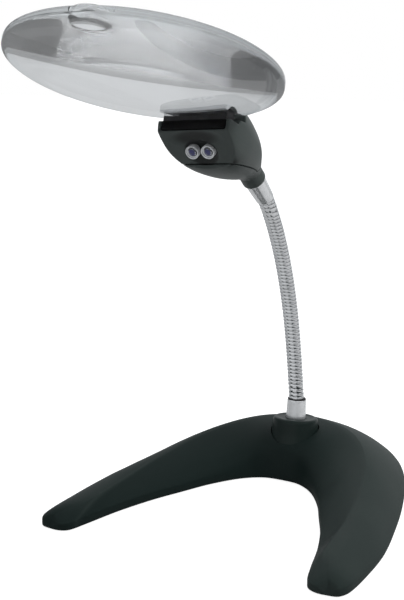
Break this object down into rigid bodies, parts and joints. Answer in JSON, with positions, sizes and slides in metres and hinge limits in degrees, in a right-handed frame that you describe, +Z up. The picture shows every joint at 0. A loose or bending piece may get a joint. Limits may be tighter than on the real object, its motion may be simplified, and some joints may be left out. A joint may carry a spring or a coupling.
{
  "type": "low vision magnifier",
  "caption": "Hands-free stand magnifier: a rimless round lens with a spot lens and lamp head on a bright gooseneck over a weighted crescent base.",
  "frame": {"origin": "on the table, under the swivel turret, on the base's middle plane", "axes": "+Z up, -Y towards the open end of the crescent and the lens, +X to the right seen from the open end's far side"},
  "size_m": [0.1572, 0.2589, 0.2348],
  "materials": {
    "green_black_plastic": "satin, fine moulded texture",
    "head_plastic": "satin, fine moulded texture",
    "painted_plate": "black paint",
    "pad_rubber": "matt",
    "cast_ballast": "as cast",
    "bright_steel": "zinc plated",
    "satin_chrome": "satin",
    "chrome_coil": "bright",
    "clear_acrylic": "optically clear, polished",
    "black_rubber": "matt",
    "silver_trim": "metallised",
    "gloss_black": "gloss",
    "led_epoxy": "clear epoxy",
    "board": "solder mask"
  },
  "bodies": {
    "base": {"base_shell": "green_black_plastic", "base_plate": "painted_plate", "base_pad": "pad_rubber", "ballast_left": "cast_ballast", "ballast_right": "cast_ballast", "base_screws": "bright_steel"},
    "turret": {"turret": "green_black_plastic", "friction_washer": "bright_steel", "turret_nut": "bright_steel", "lower_ferrule": "satin_chrome", "neck_1": "chrome_coil"},
    "neck_2": {"neck_2": "chrome_coil"},
    "neck_3": {"neck_3": "chrome_coil"},
    "neck_4": {"neck_4": "chrome_coil"},
    "neck_5": {"neck_5": "chrome_coil"},
    "neck_6": {"neck_6": "chrome_coil"},
    "head": {"neck_7": "chrome_coil", "upper_ferrule": "satin_chrome", "head_upper_shell": "head_plastic", "head_bottom_cover": "head_plastic", "shell_screws": "bright_steel", "lens": "clear_acrylic", "spot_lens": "clear_acrylic", "lens_gasket": "black_rubber", "lens_rest": "black_rubber", "clamp_trim": "silver_trim", "clamp_screws": "bright_steel", "front_band": "gloss_black", "led_left": "led_epoxy", "led_right": "led_epoxy", "bezel_left": "silver_trim", "bezel_right": "silver_trim", "circuit_board": "board", "switch_body": "gloss_black", "coin_cell_lower": "bright_steel", "coin_cell_upper": "bright_steel", "battery_contact": "bright_steel", "battery_cap": "head_plastic"},
    "button": {"switch_button": "gloss_black"}
  },
  "joints": [
    {"name": "turret_swivel", "type": "hinge", "parent": "base", "child": "turret", "pos_m": [0, -0.0023, 0.017], "axis": [0, 0.1045, 0.9945], "range_deg": [-45, 45]},
    {"name": "neck_bend_1", "type": "hinge", "parent": "turret", "child": "neck_2", "pos_m": [0, -0.00306, 0.05739], "axis": [1, 0, 0], "range_deg": [-12, 12]},
    {"name": "neck_sway_1", "type": "hinge", "parent": "neck_2", "child": "neck_3", "pos_m": [0, -0.00626, 0.07409], "axis": [0, 0.9762, 0.2167], "range_deg": [-12, 12]},
    {"name": "neck_bend_2", "type": "hinge", "parent": "neck_3", "child": "neck_4", "pos_m": [0, -0.01043, 0.09057], "axis": [1, 0, 0], "range_deg": [-12, 12]},
    {"name": "neck_sway_2", "type": "hinge", "parent": "neck_4", "child": "neck_5", "pos_m": [0, -0.01583, 0.10669], "axis": [0, 0.9328, 0.3603], "range_deg": [-12, 12]},
    {"name": "neck_bend_3", "type": "hinge", "parent": "neck_5", "child": "neck_6", "pos_m": [0, -0.02266, 0.12225], "axis": [1, 0, 0], "range_deg": [-12, 12]},
    {"name": "neck_sway_3", "type": "hinge", "parent": "neck_6", "child": "head", "pos_m": [0, -0.03105, 0.13704], "axis": [0, 0.8409, 0.5413], "range_deg": [-12, 12]},
    {"name": "button_press", "type": "slide", "parent": "head", "child": "button", "axis": [0.0462, -0.3689, -0.9283], "range_m": [0, 0.0008], "stiffness_N_per_m": 800, "springref_m": -0.0004}
  ],
  "couplings": [
    {"joint": "neck_bend_2", "follows": "neck_bend_1", "ratio": 1},
    {"joint": "neck_bend_3", "follows": "neck_bend_1", "ratio": 1},
    {"joint": "neck_sway_2", "follows": "neck_sway_1", "ratio": 1},
    {"joint": "neck_sway_3", "follows": "neck_sway_1", "ratio": 1}
  ]
}
